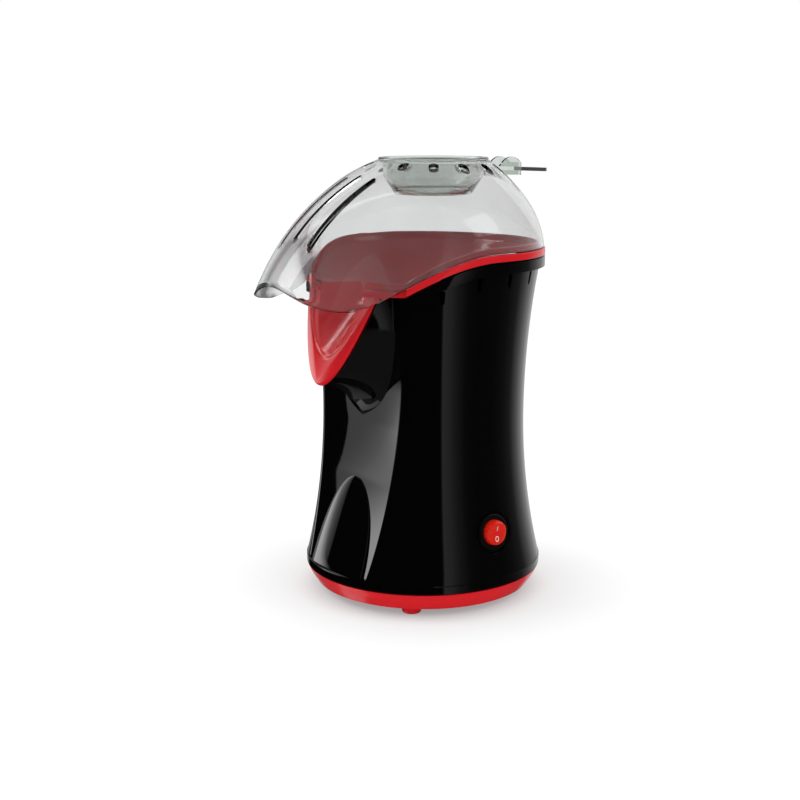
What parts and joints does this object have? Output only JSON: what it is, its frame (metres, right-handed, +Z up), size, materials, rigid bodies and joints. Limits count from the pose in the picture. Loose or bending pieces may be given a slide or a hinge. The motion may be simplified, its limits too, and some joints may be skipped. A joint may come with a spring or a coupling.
{
  "type": "hot-air popcorn maker",
  "caption": "Countertop hot-air popcorn maker: waisted housing, red chute collar and base, clear lift-off hood with a measuring cup, rocker switch and fan-blown popping chamber.",
  "frame": {"origin": "on the ground under the middle of the object's box", "axes": "+Z up; -Y towards the spout and the hood's nose, +X towards the side with the switch"},
  "size_m": [0.1546, 0.22, 0.28],
  "materials": {
    "clear_plastic": "clear grey-tinted moulded plastic, glossy",
    "red_plastic": "glossy moulded red plastic",
    "black_plastic": "high-gloss moulded black plastic",
    "switch_plastic": "semi-gloss black plastic",
    "rocker_plastic": "translucent glossy red plastic with white I and O marks",
    "inner_plastic": "heat-resistant matt black plastic",
    "chamber_aluminium": "spun aluminium",
    "bright_steel": "plated steel",
    "mica": "mica sheet",
    "ceramic": "moulded cream insulator",
    "board": "printed circuit board"
  },
  "bodies": {
    "housing": {"chute_collar": "red_plastic", "outer_shell": "black_plastic", "front_panel": "black_plastic", "base_tray": "red_plastic", "foot_1": "red_plastic", "foot_2": "red_plastic", "foot_3": "red_plastic", "foot_4": "red_plastic", "base_screw_1": "bright_steel", "base_screw_2": "bright_steel", "base_screw_3": "bright_steel", "base_screw_4": "bright_steel", "popping_chamber": "chamber_aluminium", "chamber_housing": "inner_plastic", "fan_housing": "inner_plastic", "heater_frame": "mica", "heater_coil": "bright_steel", "thermostat": "ceramic", "thermal_fuse": "ceramic", "motor": "bright_steel", "motor_stand": "inner_plastic", "rectifier_board": "board", "switch_body": "switch_plastic", "cord_gland": "inner_plastic"},
    "hood": {"hood": "clear_plastic"},
    "cup": {"measuring_cup": "clear_plastic"},
    "rocker": {"switch_rocker": "rocker_plastic"},
    "fan": {"fan_impeller": "inner_plastic", "motor_shaft": "bright_steel"}
  },
  "joints": [
    {"name": "hood_lift", "type": "slide", "parent": "housing", "child": "hood", "axis": [0, 0, 1], "range_m": [0, 0.08]},
    {"name": "cup_lift", "type": "slide", "parent": "hood", "child": "cup", "axis": [0, 0, 1], "range_m": [0, 0.05]},
    {"name": "rocker_tilt", "type": "hinge", "parent": "housing", "child": "rocker", "pos_m": [0.07167, 0.006, 0.0512], "axis": [0, 1, 0], "range_deg": [-24, 0]},
    {"name": "fan_spin", "type": "hinge", "parent": "housing", "child": "fan", "pos_m": [0, 0.006, 0.066], "axis": [0, 0, 1], "continuous": true}
  ]
}
